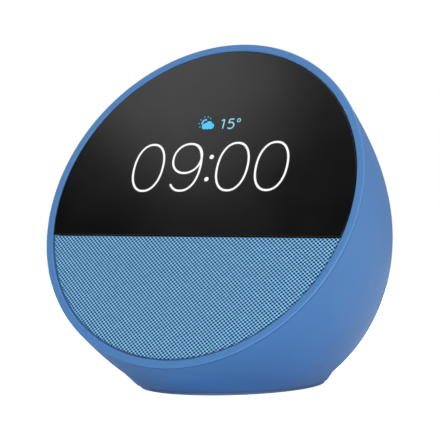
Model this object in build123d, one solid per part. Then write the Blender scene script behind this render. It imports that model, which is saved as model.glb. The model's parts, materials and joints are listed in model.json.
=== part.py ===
from build123d import *
from math import atan2, cos, pi, radians, sin, sqrt
import os

# Smart speaker: a tilted round face with a display window over a cloth grille, in front of a drooping dome.
# Millimetres, +Z up, front towards -Y. The origin is the centre of the oval foot, on the table.
# Face frame: x across, v up in the tilted face, t the depth behind the face along its normal.

# ---- body ----
face_diameter = 113.0
face_tilt = 25.3        # the face leans back from upright
ring_lift = 9.2         # lowest point of the face above the table
foot_half_width = 28.1
foot_half_length = 36.8
foot_setback = 10.5     # front of the foot behind the lowest point of the face
foot_flare = 0.95       # sideways growth of the foot's outline for each unit of height
foot_lean = 0.5         # forward shift of the foot's outline for each unit of height
foot_thickness = 1.2
foot_inset = 0.2
shell_wall = 2.4
dome_depth = 80.9       # along the face normal
dome_fullness = 2.73    # a larger value keeps the sides straight for longer
dome_rounding = 1.5     # a larger value makes the tip flatter
dome_droop = 0.145      # slope of the dome's centre line at the face
dome_recovery = 0.051   # how much of that slope is lost by the tip
dome_sections = 12

# ---- front ring and window ----
ring_face_width = 2.5
ring_edge_depth = 0.6   # depth of the ring's outer edge in front of the seam
seam_gap = 0.25
ring_spigot_wall = 1.0
ring_depth = 4.8
ring_ledge_width = 1.6
ring_edge_radius = 0.4
window_recess = 0.15
window_thickness = 1.1
adhesive_thickness = 0.2
window_gap = 0.25
window_split = 12.35    # the window's lower edge, below the face centre
cloth_gap = 0.5
cloth_recess = 0.25
cloth_thickness = 0.9
grille_thickness = 1.2
grille_hole_radius = 1.4
grille_pitch = 4.2
grille_row_step = grille_pitch * sqrt(3) / 2
fit_gap = 0.2           # between pieces that locate in each other

# ---- display ----
display_aspect = 1.375
display_margin = 2.75   # module corner to the window's edge
display_lift = 3.35     # module above the window's lower edge
panel_thickness = 1.2
backlight_thickness = 2.6
bracket_thickness = 0.8
flex_thickness = 0.3
flex_width = 18.0

# ---- front frame ----
frame_thickness = 5.35
frame_web = 2.0
frame_rim_width = 5.7
frame_screw_inset = 2.7
frame_screw_length = 13.0
frame_post_radius = 3.4
frame_post_end = 34.0   # depth that the shell's posts for the frame reach back to

# ---- loudspeaker ----
speaker_overlap = 3.4   # the basket reaches this far up behind the window
speaker_margin = 0.5    # basket flange to the frame's edge
speaker_travel = 1.5
gasket_thickness = 0.8
basket_thickness = 1.2
surround_width = 3.0
cone_depth = 6.0
coil_radius = 8.5
coil_wall = 0.6
coil_gap = 0.4
speaker_screw_radius = 0.8
magnet_thickness = 5.5
plate_thickness = 2.5
enclosure_wall = 1.6
enclosure_gap = 0.5     # to the shell's inside
enclosure_depth = 34.0

# ---- main board ----
board_thickness = 1.6
standoff_length = 6.4
standoff_radius = 2.6
standoff_offset = 6.5   # outside the display module
board_bottom_gap = 2.0  # to the loudspeaker enclosure
board_top = 34.0

# ---- buttons ----
button_setback = 22.0   # depth behind the face
button_pitch = 15.0
button_radius = 4.5
button_gap = 0.25
button_proud = 0.35
button_mark_depth = 0.3
button_travel = 0.5
button_flange = 1.4     # flange beyond the cap
button_flange_thickness = 1.0
stem_radius = 1.8
stem_clear = 1.0
switch_size = 6.2
switch_height = 3.2
plunger_height = 0.9
plunger_radius = 1.6
button_board_length = 56.0
button_board_width = 13.0
button_board_thickness = 1.2
mic_hole_radius = 0.5

# ---- power inlet ----
inlet_radius = 5.6      # recess for the plug's round moulding
inlet_depth = 4.0
inlet_wall = 2.0
inlet_floor = 1.6
jack_nose_radius = 4.0
jack_bore_radius = 2.85
jack_bore_depth = 10.0
jack_pin_radius = 1.0
jack_length = 12.0
jack_width = 10.0
retainer_thickness = 1.5

# ---- base ----
base_plate_thickness = 2.4
base_post_radius = 3.4
base_post_top = 14.0
base_screw_length = 8.0
weight_height = 9.0
weight_front = -4.5     # its straight front, behind the loudspeaker's enclosure
weight_margin = 3.0     # to the shell's inside at the base plate

# ---- small screws ----
screw_radius = 1.0
screw_head_radius = 1.9
screw_head_height = 1.2
screw_clear = 0.08
screw_post_radius = 2.4  # posts for the button board and the jack's retainer
short_screw_length = 5.5
tapped_depth = 5.0      # of the blind holes in those posts

# ---- places worked out from the sizes above ----
face_radius = face_diameter / 2
tilt = radians(face_tilt)
face_height = ring_lift + face_radius * cos(tilt)
face_forward = foot_setback + foot_half_length - face_radius * sin(tilt)
face = Plane(origin=(0, -face_forward, face_height), x_dir=(1, 0, 0), z_dir=(0, -cos(tilt), sin(tilt)))
seam_depth = ring_edge_depth + seam_gap
window_radius = face_radius - ring_face_width - window_gap
frame_front = window_recess + window_thickness + adhesive_thickness
frame_back = frame_front + frame_thickness
frame_radius = face_radius - ring_face_width - ring_ledge_width - fit_gap
cloth_radius = face_radius - ring_face_width - cloth_gap
screw_seat = frame_front + frame_web + 0.6
cloth_back = cloth_recess + cloth_thickness
grille_back = cloth_back + grille_thickness
BIG = 4 * face_diameter


def placed(shape):
    """Face frame to the speaker's own frame."""
    return face * shape


def disc(radius, near, far, x=0.0, v=0.0):
    """Round slab between two depths behind the face."""
    return Pos(x, v, -(near + far) / 2) * Cylinder(radius, far - near)


def tube(outer, inner, near, far, x=0.0, v=0.0):
    return disc(outer, near, far, x, v) - disc(inner, near - 1, far + 1, x, v)


def slab(width, height, near, far, x=0.0, v=0.0):
    """Rectangular slab between two depths behind the face."""
    return Pos(x, v, -(near + far) / 2) * Box(width, height, far - near)


def above(v):
    """Everything in the face frame higher than v."""
    return Pos(0, v + BIG / 2, 0) * Box(BIG, BIG, BIG)


def turned(points, v=0.0):
    """Body of revolution about the face normal, from (radius, depth) corners."""
    outline = Plane.XZ * make_face(Polyline(*[(r, -t) for r, t in points], close=True))
    return Pos(0, v, 0) * revolve(outline, Axis.Z)


def dome_radius(t, inset=0.0):
    """Radius of the dome's round section at depth t."""
    full = face_radius - inset
    share = t / (dome_depth - inset)
    return full * (1 - share ** dome_fullness) ** (1 / dome_rounding)


def dome_centre(t):
    """Height v of the dome's centre line at depth t: it droops, then levels out."""
    return -(dome_droop * t - dome_recovery * t * t / dome_depth)


def depth_of_radius(radius, inset=0.0):
    """Depth at which the dome has narrowed to this radius."""
    share = 1 - (radius / (face_radius - inset)) ** dome_rounding
    return (dome_depth - inset) * share ** (1 / dome_fullness)


def dome(inset, start):
    """Loft of round sections, closed by a small flat that the power inlet takes away."""
    end = depth_of_radius(inlet_radius - 1.6, inset)
    sections = []
    for i in range(dome_sections + 1):
        t = start + (end - start) * sin(pi / 2 * i / dome_sections)
        section_plane = Plane(origin=(0, dome_centre(t), -t))
        sections.append(section_plane * Circle(dome_radius(t, inset)))
    return loft(sections)


def foot_outline(inset, z):
    """Oval outline of the foot at height z: its front runs straight up to the ring's lowest edge."""
    front_growth = (foot_setback - ring_edge_depth) / ring_lift - foot_lean
    half_width = foot_half_width + foot_flare * z - inset
    half_length = foot_half_length + front_growth * z - inset
    return Plane(origin=(0, -foot_lean * z, z)) * Ellipse(half_width, half_length)


def oval_slab(inset, low, high):
    """Upright oval slab, as large as the foot's outline at its lower face."""
    return extrude(foot_outline(inset, low), high - low, dir=(0, 0, 1))


def body(inset, start):
    """Dome and flared foot together, in the speaker's own frame."""
    behind_seam = placed(Pos(0, 0, -start - BIG / 2) * Box(BIG, BIG, BIG))
    collar = loft([foot_outline(inset, -1), foot_outline(inset, ring_lift + 1.5 - inset)])
    return placed(dome(inset, start)) + (collar & behind_seam)


def over(z):
    """Everything higher than z."""
    return Pos(0, 0, z + BIG / 2) * Box(BIG, BIG, BIG)


def screw(length, head=True):
    """Pan-head screw along -Z with its head's underside at Z=0 and a cross recess."""
    part = Pos(0, 0, -length / 2) * Cylinder(screw_radius, length)
    cap = Pos(0, 0, screw_head_height / 2) * Cylinder(screw_head_radius, screw_head_height)
    cross = Box(2.2, 0.5, 0.9) + Box(0.5, 2.2, 0.9)
    return part + cap - Pos(0, 0, screw_head_height) * cross


os.makedirs("parts", exist_ok=True)

# ---- layout that several pieces share ----
shell_inner = body(shell_wall, seam_depth)
outer_body = body(0, seam_depth) & over(foot_thickness)

flange_radius = dome_radius(frame_back, shell_wall) + dome_centre(frame_back) - fit_gap

display_low = -window_split + display_lift
corner_radius = window_radius - display_margin
square = 1 + (display_aspect / 2) ** 2
corner_room = corner_radius ** 2 - display_low ** 2
display_height = (-display_low + sqrt(display_low ** 2 + square * corner_room)) / square
display_width = display_aspect * display_height
display_v = display_low + display_height / 2
panel_back = frame_front + panel_thickness
backlight_back = panel_back + backlight_thickness
bracket_back = frame_back + bracket_thickness
board_front = bracket_back + standoff_length
board_back = board_front + board_thickness

# The basket is as large as fits between the frame's edge and its reach behind the window.
gasket_back = frame_back + gasket_thickness
basket_front = gasket_back
flange_back = basket_front + basket_thickness
room_inset = shell_wall + enclosure_gap + enclosure_wall
speaker_low = dome_centre(flange_back) - dome_radius(flange_back, room_inset) + speaker_margin
speaker_high = -window_split + speaker_overlap
basket_radius = (speaker_high - speaker_low) / 2
speaker_v = (speaker_high + speaker_low) / 2
surround_outer = basket_radius - 3.0
cone_radius = surround_outer - surround_width - 1.2
cone_back = basket_front + cone_depth
enclosure_radius = basket_radius + enclosure_wall + 1.2

board_low = speaker_v + enclosure_radius + board_bottom_gap
board_radius = dome_radius(board_back, shell_wall) - 2.4
board_v = dome_centre(board_back)
chip_v = (board_low + board_top) / 2
pad_back = board_back + 2.2
spreader_back = pad_back + 1.5
spreader_height = board_top - board_low - 8.0

standoff_x = display_width / 2 + standoff_offset
standoff_reach = frame_radius - standoff_radius - 1.2
standoff_high = sqrt(standoff_reach ** 2 - standoff_x ** 2)
standoff_low = display_low + 11.0
standoffs = [(side * standoff_x, v) for side in (-1, 1) for v in (standoff_low, standoff_high)]

post_circle = frame_radius - frame_screw_inset
post_angles = (radians(20), radians(160), radians(205), radians(335))
posts = [(post_circle * cos(a), post_circle * sin(a)) for a in post_angles]

# Buttons press along one direction, square to the dome at the middle button.
button_v = dome_centre(button_setback) + dome_radius(button_setback)
step = 0.01
rise = dome_centre(button_setback + step) + dome_radius(button_setback + step) - button_v
button_slope = rise / step
button_plane = Plane(origin=(0, button_v, -button_setback), x_dir=(1, 0, 0), z_dir=(0, 1, button_slope))
button_names = ("volume_down", "mic_mute", "volume_up")
button_xs = (-button_pitch, 0.0, button_pitch)
flange_radius_button = button_radius + button_flange


def crown_drop(x):
    """How far the dome has fallen below the middle button's level at this distance across."""
    crown = dome_radius(button_setback)
    return crown - sqrt(crown ** 2 - x ** 2)


def flange_top(x):
    return -(crown_drop(abs(x) + flange_radius_button) + 1.06 * shell_wall + 0.3)


switch_top = flange_top(button_pitch) - button_flange_thickness - stem_clear
board_level = switch_top - plunger_height - switch_height
button_post_x = button_board_length / 2 - 4.0

# The inlet is on the dome's tip, along the face normal.
inlet_v = dome_centre(dome_depth)
inlet_mouth = depth_of_radius(inlet_radius)
inlet_bottom = inlet_mouth - inlet_depth
inlet_back = inlet_bottom - inlet_floor
jack_back = inlet_back - jack_length
retainer_x = jack_width / 2 + 4.5

base_post_inset = shell_wall + base_post_radius - 0.7  # the posts run into the wall a little
base_angles = (radians(8), radians(90), radians(172))
base_posts = [
    ((foot_half_width - base_post_inset) * cos(a), (foot_half_length - base_post_inset) * sin(a))
    for a in base_angles
]
base_plate_top = foot_thickness + base_plate_thickness


def column(radius, low, high, x=0.0, y=0.0):
    """Upright round bar in the speaker's own frame."""
    return Pos(x, y, (low + high) / 2) * Cylinder(radius, high - low)


def rib(x, y, width, low, high, length=22.0):
    """Upright rib from a base post at (x, y) straight outwards."""
    angle = atan2(y, x) * 180 / pi
    distance = sqrt(x * x + y * y) + length / 2
    return Rot(0, 0, angle) * (Pos(distance, 0, (low + high) / 2) * Box(length, width, high - low))


def pressed(radius, low, high, x=0.0, y=0.0):
    """Round bar along the buttons' press direction, from their surface level, in the speaker's own frame."""
    return placed(button_plane * (Pos(x, y, (low + high) / 2) * Cylinder(radius, high - low)))


def pressed_box(width, depth, low, high, x=0.0, y=0.0):
    return placed(button_plane * (Pos(x, y, (low + high) / 2) * Box(width, depth, high - low)))


# ---- casing ----
def rear_shell():
    """Dome with a wall, screw posts, the button and microphone holes and the inlet's recess."""
    rebate = face_radius - 1.5 + ring_spigot_wall * 0.15
    shell = outer_body - shell_inner
    shell -= placed(disc(rebate, seam_depth - 1, ring_depth + fit_gap))
    additions = []
    for x, v in posts:
        additions.append(placed(disc(frame_post_radius, frame_back, frame_post_end, x, v)))
    for x in (-button_post_x, button_post_x):
        additions.append(pressed(screw_post_radius, board_level, 0, x))
    additions.append(placed(disc(inlet_radius + inlet_wall, inlet_back, dome_depth, 0, inlet_v)))
    for side in (-1, 1):
        additions.append(placed(disc(screw_post_radius, jack_back, dome_depth, side * retainer_x, inlet_v)))
    for x, y in base_posts:
        additions.append(column(base_post_radius, base_plate_top, base_post_top, x, y))
        additions.append(rib(x, y, 2.0, base_plate_top, base_post_top))
    for extra in additions:
        shell += extra & outer_body
    for x, v in posts:
        shell -= placed(disc(screw_radius + screw_clear, frame_back - 1, frame_back + 12, x, v))
    for x in button_xs:
        shell -= pressed(button_radius + button_gap, -shell_wall - crown_drop(x) - 3, 4, x)
    for x in (-button_post_x, button_post_x):
        shell -= pressed(screw_radius + screw_clear, board_level - 1, board_level + tapped_depth, x)
    for x in (-button_pitch / 2, button_pitch / 2):
        shell -= pressed(mic_hole_radius, -shell_wall - 4, 4, x)
    shell -= placed(disc(inlet_radius, inlet_bottom, dome_depth + 1, 0, inlet_v))
    shell -= placed(disc(jack_nose_radius + fit_gap, inlet_back - 1, inlet_bottom + 1, 0, inlet_v))
    for side in (-1, 1):
        x = side * retainer_x
        hole = disc(screw_radius + screw_clear, jack_back - 1, jack_back + tapped_depth, x, inlet_v)
        shell -= placed(hole)
    for x, y in base_posts:
        shell -= column(screw_radius + screw_clear, base_plate_top - 1, base_plate_top + 8, x, y)
    return shell


def bezel_ring():
    """Ring round the face: a flat front, a spigot into the shell and a ledge for the frame."""
    face_edge = face_radius - ring_face_width
    spigot = face_edge + ring_spigot_wall
    ledge = frame_radius + fit_gap
    corners = [
        (face_edge, 0), (face_radius, 0), (face_radius, ring_edge_depth), (spigot, ring_edge_depth),
        (spigot, ring_depth), (ledge, ring_depth), (ledge, frame_front), (face_edge, frame_front),
    ]
    ring = turned(corners)
    front_edges = ring.edges().filter_by_position(Axis.Z, -0.001, 0.001)
    return placed(fillet(front_edges, ring_edge_radius))


def display_window():
    round_window = disc(window_radius, window_recess, window_recess + window_thickness)
    return placed(round_window & above(-window_split))


def window_adhesive():
    """Adhesive frame between the window and the front frame, round the display's opening."""
    near, far = window_recess + window_thickness, frame_front
    sheet = disc(frame_radius - 0.1, near, far) & above(-window_split + 0.3)
    return placed(sheet - slab(display_width + 0.6, display_height + 0.6, near - 1, far + 1, 0, display_v))


def grille_cloth():
    round_cloth = disc(cloth_radius, cloth_recess, cloth_back)
    return placed(round_cloth - above(-window_split - 0.3))


def grille_plate():
    """Stiff plate behind the cloth, with staggered rows of holes over the loudspeaker."""
    radius = frame_radius - fit_gap
    plate = disc(radius, cloth_back, grille_back) - above(-window_split - 0.6)
    holes = Sketch()
    rows = int(2 * radius / grille_row_step) + 1
    keep = radius - 2 * grille_hole_radius
    for row in range(rows):
        v = -window_split - 3.2 - row * grille_row_step
        for column_index in range(-rows, rows + 1):
            x = (column_index + 0.5 * (row % 2)) * grille_pitch
            if x * x + v * v < keep * keep:
                holes += Pos(x, v) * Circle(grille_hole_radius)
    return placed(plate - Pos(0, 0, -grille_back - 1) * extrude(holes, grille_back + 2))


def front_frame():
    """Moulded frame behind the face: a web with a rim, the display pocket and the loudspeaker seat."""
    web_back = frame_front + frame_web
    frame = disc(frame_radius, frame_front, web_back)
    frame += tube(frame_radius, frame_radius - frame_rim_width, web_back - 0.5, frame_back)
    frame += tube(flange_radius, frame_radius - 1, ring_depth, frame_back)
    pocket = slab(display_width + 5.4, display_height + 5.4, web_back - 0.5, frame_back, 0, display_v)
    frame += pocket & disc(frame_radius, frame_front, frame_back)
    seat = disc(enclosure_radius, web_back - 0.5, frame_back, 0, speaker_v)
    frame += seat & disc(frame_radius, frame_front, frame_back)
    for x, v in standoffs:
        frame += disc(standoff_radius + 0.9, web_back - 0.5, frame_back, x, v)
    frame -= slab(display_width + 0.6, display_height + 0.6, frame_front - 1, frame_back + 1, 0, display_v)
    frame -= disc(surround_outer + 0.6, frame_front - 1, frame_back + 1, 0, speaker_v)
    recess = disc(frame_radius, frame_front - 1, grille_back + 0.1)
    frame -= recess - above(-window_split - 0.4) - tube(BIG, frame_radius - 0.05, 0, frame_back)
    for x, v in standoffs:
        frame -= disc(screw_radius + screw_clear, frame_front + 1, frame_back + 1, x, v)
    for x, v in posts:
        frame -= disc(screw_radius + screw_clear, frame_front - 1, frame_back + 1, x, v)
        frame -= disc(screw_head_radius + fit_gap, frame_front - 1, screw_seat, x, v)
    for x, v in speaker_screw_places():
        frame -= disc(speaker_screw_radius + screw_clear, grille_back + 1.5, frame_back + 1, x, v)
    return placed(frame)


def frame_screws():
    """Screws through the frame into the shell's posts."""
    return [placed(Pos(x, v, -screw_seat) * screw(frame_screw_length)) for x, v in posts]


# ---- display ----
def display_panel():
    return placed(slab(display_width, display_height, frame_front, panel_back, 0, display_v))


def display_backlight():
    """Light guide in its tray, with a lip down the sides."""
    tray = slab(display_width, display_height, panel_back, backlight_back, 0, display_v)
    near = backlight_back - 0.5
    groove = slab(display_width - 4, display_height - 4, near, backlight_back + 1, 0, display_v)
    return placed(tray - groove)


def display_bracket():
    """Sheet bracket that holds the display in its pocket, under the board's standoffs."""
    low = board_low + 2.0
    high = display_low + display_height + 1.0
    height = high - low
    plate = slab(display_width + 2, height, frame_back, bracket_back, 0, (low + high) / 2)
    for x, v in standoffs:
        toward = x / abs(x) * (abs(x) - standoff_offset)
        ear = slab(2 * standoff_offset, 7.0, frame_back, bracket_back, toward, v)
        plate += ear
        plate += disc(3.5, frame_back, bracket_back, x, v)
    for x, v in standoffs:
        plate -= disc(screw_radius + screw_clear, frame_back - 1, bracket_back + 1, x, v)
    slot = slab(12.0, 4.0, frame_back - 1, bracket_back + 1, 0, display_v + 12)
    return placed(plate - slot - Pos(0, -10, 0) * slot)


def ribbon(points, width, radius, x=0.0):
    """Flat cable: a bent strip that follows (v, t) corners, as wide as stated across x."""
    path = FilletPolyline(*[(v, -t) for v, t in points], radius=radius)
    strip = trace(path, flex_thickness)
    upright = Plane(origin=(x - width / 2, 0, 0), x_dir=(0, 1, 0), z_dir=(1, 0, 0))
    return placed(upright * extrude(strip, width))


def display_flex():
    back = backlight_back + flex_thickness / 2 + 0.02
    arrival = board_front - 1.25
    turn = board_low + 0.7
    points = [(board_low + 5.0, back), (turn, back), (turn, arrival), (board_low + 2.6, arrival)]
    return ribbon(points, flex_width, 0.8)


# ---- loudspeaker ----
def speaker_screw_places():
    circle = basket_radius - 1.2
    angles = [radians(15 + 90 * i) for i in range(4)]
    return [(circle * cos(a), speaker_v + circle * sin(a)) for a in angles]


def speaker_gasket():
    ring = tube(basket_radius, surround_outer + 0.4, frame_back, gasket_back, 0, speaker_v)
    for x, v in speaker_screw_places():
        ring -= disc(speaker_screw_radius + screw_clear, frame_back - 1, gasket_back + 1, x, v)
    return placed(ring)


motor_front = cone_back + 4.0 + speaker_travel
top_plate_back = motor_front + plate_thickness
magnet_back = top_plate_back + magnet_thickness
pole_back = magnet_back + 2.0
motor_radius = coil_radius + 5.0


def speaker_basket():
    """Pressed basket: a flange, a cone wall with windows, a spider seat and a floor on the motor."""
    seat = cone_back + 2.6
    wall = [
        (surround_outer - 0.8, basket_front), (basket_radius, basket_front),
        (basket_radius, flange_back), (surround_outer + 0.6, flange_back),
        (surround_outer - 0.8, seat + 1.2), (motor_radius, motor_front), (coil_radius + 1.6, motor_front),
        (coil_radius + 1.6, motor_front - 1.0), (motor_radius - 0.6, motor_front - 1.0),
        (motor_radius + 0.4, seat + 1.2), (motor_radius + 0.4, seat), (surround_outer - 2.0, seat),
    ]
    basket = turned(wall, speaker_v)
    for i in range(4):
        window = Pos(surround_outer, 0, -(flange_back + 3.6)) * Box(9.0, 13.0, 4.4)
        basket -= Pos(0, speaker_v, 0) * (Rot(0, 0, 90 * i) * window)
    for x, v in speaker_screw_places():
        basket -= disc(speaker_screw_radius + screw_clear, basket_front - 1, flange_back + 1, x, v)
    return placed(basket)


def speaker_surround():
    """Half-roll of rubber between the cone and the basket."""
    middle = (cone_radius + surround_outer - 0.8) / 2 + 0.2
    roll = surround_width / 2
    roll_ring = Pos(0, speaker_v, -basket_front) * Torus(middle, roll)
    hollow = Pos(0, speaker_v, -basket_front) * Torus(middle, roll - 0.4)
    front_half = disc(BIG, basket_front - 5, basket_front)
    return placed((roll_ring - hollow) & front_half)


def speaker_cone():
    """Paper cone from the surround down to the coil former."""
    outline = [
        (cone_radius - 0.2, basket_front + 0.1), (cone_radius + 0.4, basket_front + 0.1),
        (coil_radius, cone_back + 0.6), (coil_radius, cone_back),
    ]
    return placed(turned(outline, speaker_v))


def dust_cap():
    """Shallow dome over the voice coil."""
    radius = coil_radius * 1.2
    centre = cone_back - 3.0 + sqrt(radius ** 2 - coil_radius ** 2)
    ball = Pos(0, speaker_v, -centre) * (Sphere(radius) - Sphere(radius - 0.4))
    return placed(ball & disc(coil_radius, 0, cone_back - 1.2, 0, speaker_v))


def voice_coil():
    near, far = cone_back - 1.0, top_plate_back + 0.6
    return placed(tube(coil_radius, coil_radius - coil_wall, near, far, 0, speaker_v))


def speaker_spider():
    """Corrugated disc that centres the coil: rings of a shallow wave."""
    inner_edge, outer_edge = coil_radius + 0.1, surround_outer - 2.3
    level = cone_back + 2.2
    waves = 8
    radii = [inner_edge + (outer_edge - inner_edge) * i / waves for i in range(waves + 1)]
    top = [(r, level - 0.35 * (i % 2)) for i, r in enumerate(radii)]
    under = [(r, t + 0.35) for r, t in reversed(top)]
    return placed(turned(top + under, speaker_v))


def top_plate():
    return placed(tube(motor_radius, coil_radius + coil_gap, motor_front, top_plate_back, 0, speaker_v))


def speaker_magnet():
    return placed(tube(motor_radius + 0.8, coil_radius + 2.0, top_plate_back, magnet_back, 0, speaker_v))


def pole_piece():
    """Back plate with the centre pole that reaches into the coil."""
    pole = disc(coil_radius - coil_wall - coil_gap, motor_front + 0.3, pole_back, 0, speaker_v)
    return placed(pole + disc(motor_radius, magnet_back, pole_back, 0, speaker_v))


def speaker_screws():
    pieces = []
    for x, v in speaker_screw_places():
        shank = disc(speaker_screw_radius, grille_back + 2.0, flange_back + 0.1, x, v)
        head = disc(1.15, flange_back, flange_back + 1.0, x, v)
        pieces.append(placed(shank + head))
    return pieces


terminal_angle = radians(51.2)
wire_x = (basket_radius - 0.65) * cos(terminal_angle)
terminal_v = speaker_v + (basket_radius - 0.65) * sin(terminal_angle)
wire_level = board_front - 1.1


def speaker_terminals():
    """Solder tags on a small block at the top of the basket's flange."""
    return placed(slab(3.6, 1.6, flange_back, wire_level + 1.2, wire_x, terminal_v))


def enclosure_cut(inset):
    """The room the loudspeaker's enclosure may fill, inside the shell and over the base plate."""
    dome_room = dome(shell_wall + enclosure_gap + inset, seam_depth)
    return placed(dome_room) & over(base_plate_top + 0.6 + inset)


def speaker_enclosure():
    """Sealed cup behind the loudspeaker, cut to the shell's inside and the base."""
    outer = placed(disc(enclosure_radius, frame_back, enclosure_depth, 0, speaker_v)) & enclosure_cut(0)
    far = enclosure_depth - enclosure_wall
    hollow = disc(enclosure_radius - enclosure_wall, frame_back - 1, far, 0, speaker_v)
    cup = outer - (placed(hollow) & enclosure_cut(enclosure_wall))
    cup -= placed(disc(flange_radius, frame_back - 3, frame_back))
    return cup - cable_hole(1.7)


def cable_hole(radius):
    """Bar through the enclosure's top wall where the loudspeaker's wires pass."""
    bar = Pos(wire_x, terminal_v + 6.0, -wire_level) * (Rot(90, 0, 0) * Cylinder(radius, 10.0))
    return placed(bar)


def cable_grommet():
    wall_top = speaker_v + sqrt(enclosure_radius ** 2 - wire_x ** 2)
    place = Pos(wire_x, wall_top - enclosure_wall / 2, -wire_level)
    grommet = Cylinder(1.65, enclosure_wall + 2.4) - Cylinder(1.25, 9.0)
    return placed(place * (Rot(90, 0, 0) * grommet))


def speaker_cable():
    """Pair of wires, straight up from the loudspeaker's tags to the board's plug."""
    start = terminal_v + 0.8
    end = board_low + 2.0
    pieces = []
    for side in (-0.62, 0.62):
        place = Pos(wire_x + side, (start + end) / 2, -wire_level)
        pieces.append(placed(place * (Rot(90, 0, 0) * Cylinder(0.55, end - start))))
    return pieces


# ---- main board ----
def main_board():
    board = disc(board_radius, board_front, board_back, 0, board_v)
    board = (board & above(board_low)) - above(board_top)
    for x, v in posts:
        board -= disc(frame_post_radius + 1.0, board_front - 1, board_back + 1, x, v)
    for x, v in standoffs:
        board -= disc(screw_radius + screw_clear, board_front - 1, board_back + 1, x, v)
    return placed(board)


def board_standoffs():
    """Brass standoffs with a stud that goes through the bracket into the frame."""
    pieces = []
    for x, v in standoffs:
        hexagon = Pos(x, v, -board_front) * extrude(RegularPolygon(standoff_radius, 6), standoff_length)
        stud = disc(screw_radius, frame_front + 1.4, bracket_back + 1, x, v)
        bore = disc(screw_radius + screw_clear, bracket_back + 1.4, board_front + 1, x, v)
        pieces.append(placed(hexagon + stud - bore))
    return pieces


def board_screws():
    turn = Rot(0, 180, 0)
    return [placed(Pos(x, v, -board_back) * (turn * screw(short_screw_length))) for x, v in standoffs]


def processor_chip():
    return placed(slab(14.0, 14.0, board_back, board_back + 1.2, 0, chip_v))


def memory_chips():
    return [placed(slab(8.0, 12.0, board_back, board_back + 1.0, side * 15.0, chip_v)) for side in (-1, 1)]


def thermal_pad():
    return placed(slab(14.0, 14.0, board_back + 1.2, pad_back, 0, chip_v))


def heat_spreader():
    """Aluminium plate over the processor, folded down to the board at both ends."""
    plate = slab(52.0, spreader_height, pad_back, spreader_back, 0, chip_v)
    for side in (-1, 1):
        for end in (-1, 1):
            foot_v = chip_v + end * (spreader_height / 2 - 2.5)
            plate += slab(1.5, 5.0, board_back, spreader_back, side * 25.25, foot_v)
    return placed(plate)


def shield_can():
    """Pressed can over the radio, open towards the board."""
    x = standoff_x - 4.0
    v = (standoff_low + standoff_high) / 2
    can = slab(12.0, 15.0, board_back, board_back + 2.4, x, v)
    return placed(can - slab(11.4, 14.4, board_back - 1, board_back + 2.1, x, v))


def radio_chip():
    v = (standoff_low + standoff_high) / 2
    return placed(slab(7.0, 7.0, board_back, board_back + 0.9, standoff_x - 4.0, v))


power_plug_x = 8.0 - standoff_x
button_plug_v = board_top - 2.2


def board_connectors():
    """Sockets for the display, loudspeaker, power and button cables."""
    display_socket = slab(flex_width + 2, 3.0, board_front - 1.1, board_front, 0, board_low + 2.0)
    speaker_socket = slab(6.0, 3.6, board_front - 2.2, board_front, wire_x, board_low + 3.8)
    power_socket = slab(6.0, 5.0, board_back, board_back + 3.6, power_plug_x, board_low + 5.0)
    button_socket = slab(12.0, 2.6, board_back, board_back + 1.0, 0, button_plug_v)
    return [placed(part) for part in (display_socket, speaker_socket, power_socket, button_socket)]


def board_capacitors():
    """Round capacitors and square coils round the power socket."""
    pieces = []
    for i in range(3):
        v = standoff_low + 8.0 + 5.6 * i
        pieces.append(placed(disc(2.0, board_back, board_back + 4.2, -standoff_x - 1.5, v)))
        pieces.append(placed(slab(4.0, 4.0, board_back, board_back + 2.0, 5.4 - standoff_x, v)))
    return pieces


def antenna_boards():
    """Aerials that stand on the shield's side of the board, one at each end."""
    pieces = []
    for side in (-1, 1):
        x = side * (board_radius - 6.0)
        pieces.append(placed(slab(0.8, 14.0, board_back, board_back + 8.0, x, standoff_low - 1.0)))
    return pieces


# ---- buttons ----
def button_cap(name, x):
    """Cap that follows the dome, a flange that holds it in, and a stem down to its switch."""
    top = flange_top(x)
    cap = pressed(button_radius, top - 0.5, 4, x) & placed(dome(-button_proud, seam_depth))
    flange = pressed(flange_radius_button, top - button_flange_thickness, top, x)
    stem = pressed(stem_radius, switch_top, top, x)
    solid = cap + flange + stem
    bar = pressed_box(4.2, 0.7, -8, 4, x)
    if name == "volume_up":
        mark = bar + pressed_box(0.7, 4.2, -8, 4, x)
    elif name == "volume_down":
        mark = bar
    else:
        mark = pressed(2.2, -8, 4, x) - pressed(1.6, -9, 5, x)
    return solid - (mark - placed(dome(button_mark_depth - button_proud, seam_depth)))


def switch_plunger(x):
    return pressed(plunger_radius, switch_top - plunger_height, switch_top, x)


def button_switches():
    """Tact switch bodies, with a well that the plunger sinks into."""
    pieces = []
    for x in button_xs:
        top = switch_top - plunger_height + 0.3
        shape = pressed_box(switch_size, switch_size, board_level, top, x)
        well = switch_top - plunger_height - 2 * button_travel
        pieces.append(shape - pressed(plunger_radius + 0.1, well, top + 1, x))
    return pieces


def button_board():
    under = board_level - button_board_thickness
    board = pressed_box(button_board_length, button_board_width, under, board_level)
    for x in (-button_post_x, button_post_x):
        board -= pressed(screw_radius + screw_clear, board_level - 3, board_level + 1, x)
    for x in (-button_pitch / 2, button_pitch / 2):
        board -= pressed(0.6, board_level - 3, board_level + 1, x)
    return board


def button_board_screws():
    pieces = []
    for x in (-button_post_x, button_post_x):
        seat = Pos(x, 0, board_level - button_board_thickness) * (Rot(180, 0, 0) * screw(5.0))
        pieces.append(placed(button_plane * seat))
    return pieces


def mic_gaskets():
    """Rubber tubes that lead the microphone holes down to the board."""
    pieces = []
    top = -(crown_drop(button_pitch / 2 + 1.2) + 1.06 * shell_wall + 0.1)
    for x in (-button_pitch / 2, button_pitch / 2):
        pieces.append(pressed(1.2, board_level, top, x) - pressed(0.6, board_level - 1, top + 1, x))
    return pieces


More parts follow.
